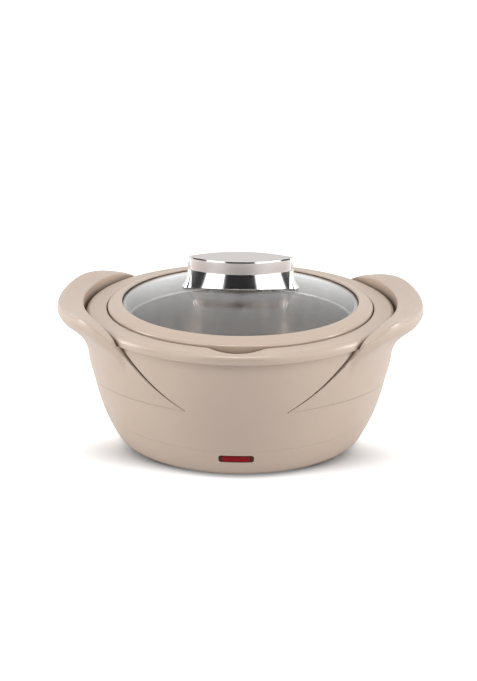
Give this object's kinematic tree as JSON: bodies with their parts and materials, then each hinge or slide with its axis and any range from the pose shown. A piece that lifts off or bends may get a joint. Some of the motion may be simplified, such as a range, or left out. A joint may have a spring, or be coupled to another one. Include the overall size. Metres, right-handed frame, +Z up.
{
  "type": "electric casserole",
  "caption": "Insulated electric casserole: round beige bowl with flared leaf-shaped ears, steel liner, base heater, red indicator bar, and a lift-off domed glass lid with a chrome grip",
  "frame": {"origin": "centre of the footprint on the table, under the feet", "axes": "+Z is up, -Y is the front with the indicator and the finger notch, +X runs to the right ear"},
  "size_m": [0.3104, 0.262, 0.1552],
  "materials": {
    "beige_plastic": "satin moulded",
    "clear_glass": "polished",
    "chrome_grip": "mirror bright",
    "liner_steel": "polished",
    "band_steel": "satin",
    "plate_plastic": "matt moulded",
    "white_plastic": "matt moulded",
    "black_plastic": "matt moulded",
    "red_lens": "clear red, polished",
    "grey_silicone": "soft, matt",
    "dark_gasket": "soft, matt",
    "foot_rubber": "matt",
    "foam": "porous",
    "spreader_aluminium": "turned",
    "mica": "pressed sheet",
    "plated_steel": "zinc plated",
    "brown_moulding": "matt moulded",
    "contact_brass": "plated",
    "lamp_glass": "clear",
    "pale_coating": "lacquered",
    "brown_sleeve": "extruded",
    "blue_sleeve": "extruded",
    "white_sleeve": "extruded"
  },
  "bodies": {
    "body": {"outer_body": "beige_plastic", "base_housing": "beige_plastic", "inlet_hood": "beige_plastic", "top_collar": "beige_plastic", "left_wing_handle": "beige_plastic", "right_wing_handle": "beige_plastic", "liner_bowl": "liner_steel", "base_plate": "plate_plastic", "lamp_holder": "white_plastic", "inlet_socket": "black_plastic", "indicator_bezel": "black_plastic", "indicator_lens": "red_lens", "liner_seal": "grey_silicone", "rubber_feet": "foot_rubber", "foam_insulation": "foam", "heat_spreader": "spreader_aluminium", "thermostat_cap": "spreader_aluminium", "mica_heater": "mica", "mica_sheet": "mica", "heater_clamp": "plated_steel", "liner_studs": "plated_steel", "stud_nuts": "plated_steel", "thermostat_bracket": "plated_steel", "bracket_screws": "plated_steel", "fuse_clip": "plated_steel", "base_screws": "plated_steel", "wing_screws": "plated_steel", "thermostat_body": "brown_moulding", "thermostat_terminals": "contact_brass", "inlet_pins": "contact_brass", "neon_lamp": "lamp_glass", "thermal_fuse": "pale_coating", "lamp_resistor": "pale_coating", "live_lead": "brown_sleeve", "heater_lead": "brown_sleeve", "neutral_lead": "blue_sleeve", "return_lead": "blue_sleeve", "lamp_leads": "white_sleeve"},
    "lid": {"lid_ring": "beige_plastic", "lid_glass": "clear_glass", "glass_gasket": "dark_gasket", "lid_band": "band_steel", "retaining_ring": "plate_plastic", "lid_seal": "grey_silicone", "lid_handle": "chrome_grip", "handle_insert": "white_plastic", "handle_pads": "grey_silicone", "handle_washers": "grey_silicone", "handle_screws": "plated_steel"}
  },
  "joints": [
    {"name": "lid_lift", "type": "slide", "parent": "body", "child": "lid", "axis": [0, 0, 1], "range_m": [0, 0.12]}
  ]
}
